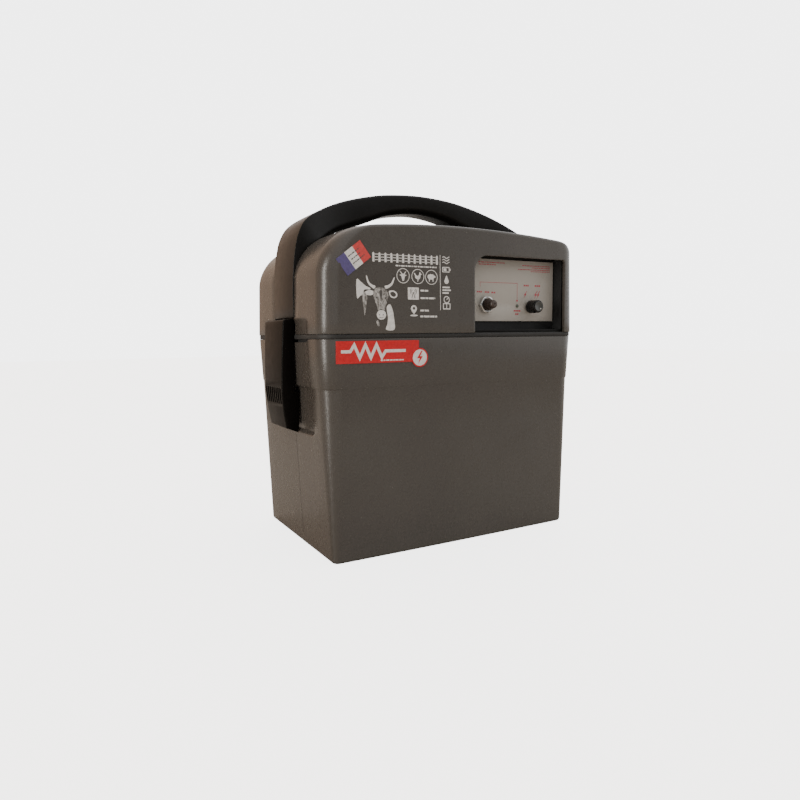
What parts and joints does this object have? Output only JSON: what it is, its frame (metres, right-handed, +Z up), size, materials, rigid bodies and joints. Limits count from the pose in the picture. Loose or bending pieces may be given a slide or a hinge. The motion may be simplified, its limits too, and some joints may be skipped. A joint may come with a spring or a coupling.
{
  "type": "fence energizer",
  "caption": "Portable battery fence energizer: drafted plastic tub, lift-off lid with a recessed control panel, arched carrying handle, side latches and rear wire terminals.",
  "frame": {"origin": "middle of the tub's underside, on the surface the unit stands on", "axes": "+X to the right of someone facing the control panel, +Y to the back, +Z up"},
  "size_m": [0.2934, 0.1826, 0.324],
  "materials": {
    "shell_grey": "fine-grained warm dark grey moulded plastic",
    "handle_black": "satin black moulded plastic",
    "inner_black": "matt black plastic",
    "seal_rubber": "black sealing rubber",
    "boot_rubber": "dark brown-black rubber",
    "panel_grey": null,
    "led_green": "small dark green lens",
    "chrome": "plated nut",
    "steel": "plain zinc-plated steel",
    "knob_black": "gloss black",
    "knob_cap": "grey disc in the end of the knob",
    "terminal_red": "red knurled plastic",
    "terminal_green": "green knurled plastic",
    "board_green": "solder-masked board",
    "core_iron": "laminated core",
    "copper": "enamelled copper winding",
    "capacitor_grey": "film capacitor case",
    "aluminium": "plain aluminium",
    "component_black": "black component body",
    "badge_red": "red sticker with a plain white bar and disc",
    "sticker_white": "white print and stickers",
    "battery_white": "battery case",
    "battery_green": "battery cover",
    "lead_red": "red insulated lead",
    "lead_black": "black insulated lead"
  },
  "bodies": {
    "tub": {"battery_tub": "shell_grey", "rim_seal": "seal_rubber", "front_badge": "badge_red", "battery_case": "battery_white", "battery_cover": "battery_green", "battery_positive_post": "steel", "battery_negative_post": "steel", "battery_lead_positive": "lead_red", "battery_lead_negative": "lead_black"},
    "lid": {"lid_shell": "shell_grey", "corner_sticker": "sticker_white", "handle": "handle_black", "handle_screw_left": "steel", "handle_screw_right": "steel", "lid_base_plate": "inner_black", "base_screw_1": "steel", "base_screw_2": "steel", "base_screw_3": "steel", "base_screw_4": "steel", "control_tray": "inner_black", "control_plate": "panel_grey", "indicator_led": "led_green", "toggle_switch_body": "inner_black", "toggle_nut": "chrome", "power_switch_body": "inner_black", "power_switch_nut": "chrome", "fence_terminal_post": "steel", "fence_terminal_washer": "steel", "fence_terminal_nut": "steel", "earth_terminal_post": "steel", "earth_terminal_washer": "steel", "earth_terminal_nut": "steel", "circuit_board": "board_green", "transformer_core": "core_iron", "transformer_coil": "copper", "storage_capacitor": "capacitor_grey", "heat_sink": "aluminium", "thyristor": "component_black", "fuse": "steel", "radio_module": "aluminium", "antenna": "component_black", "buzzer": "component_black"},
    "left_latch": {"left_latch": "handle_black", "left_latch_pin": "steel"},
    "right_latch": {"right_latch": "handle_black", "right_latch_pin": "steel"},
    "toggle": {"toggle_boot": "boot_rubber", "toggle_lever": "steel"},
    "power_knob": {"power_knob": "knob_black", "power_knob_shaft": "steel", "power_knob_cap": "knob_cap"},
    "fence_knob": {"fence_terminal_knob": "terminal_red"},
    "earth_knob": {"earth_terminal_knob": "terminal_green"}
  },
  "joints": [
    {"name": "lid_lift", "type": "slide", "parent": "tub", "child": "lid", "axis": [0, 0, 1], "range_m": [0, 0.08], "deforming": ["battery_lead_positive", "battery_lead_negative"]},
    {"name": "left_latch_swing", "type": "hinge", "parent": "lid", "child": "left_latch", "pos_m": [-0.1386, 0, 0.1997], "axis": [0, 1, 0], "range_deg": [0, 70]},
    {"name": "right_latch_swing", "type": "hinge", "parent": "lid", "child": "right_latch", "pos_m": [0.1386, 0, 0.1997], "axis": [0, -1, 0], "range_deg": [0, 70]},
    {"name": "toggle_tilt", "type": "hinge", "parent": "lid", "child": "toggle", "pos_m": [0.034, -0.0805, 0.217], "axis": [0, 0, 1], "range_deg": [-12, 12]},
    {"name": "power_turn", "type": "hinge", "parent": "lid", "child": "power_knob", "pos_m": [0.0862, -0.084, 0.2156], "axis": [0, 1, 0], "range_deg": [0, 66]},
    {"name": "fence_knob_turn", "type": "hinge", "parent": "lid", "child": "fence_knob", "pos_m": [-0.021, 0.077, 0.221], "axis": [0, 1, 0], "continuous": true},
    {"name": "earth_knob_turn", "type": "hinge", "parent": "lid", "child": "earth_knob", "pos_m": [0.021, 0.077, 0.221], "axis": [0, 1, 0], "continuous": true}
  ],
  "couplings": [
    {"joint": "left_latch_swing", "follows": "lid_lift", "rad_per_m": 15.27},
    {"joint": "right_latch_swing", "follows": "lid_lift", "rad_per_m": 15.27}
  ]
}
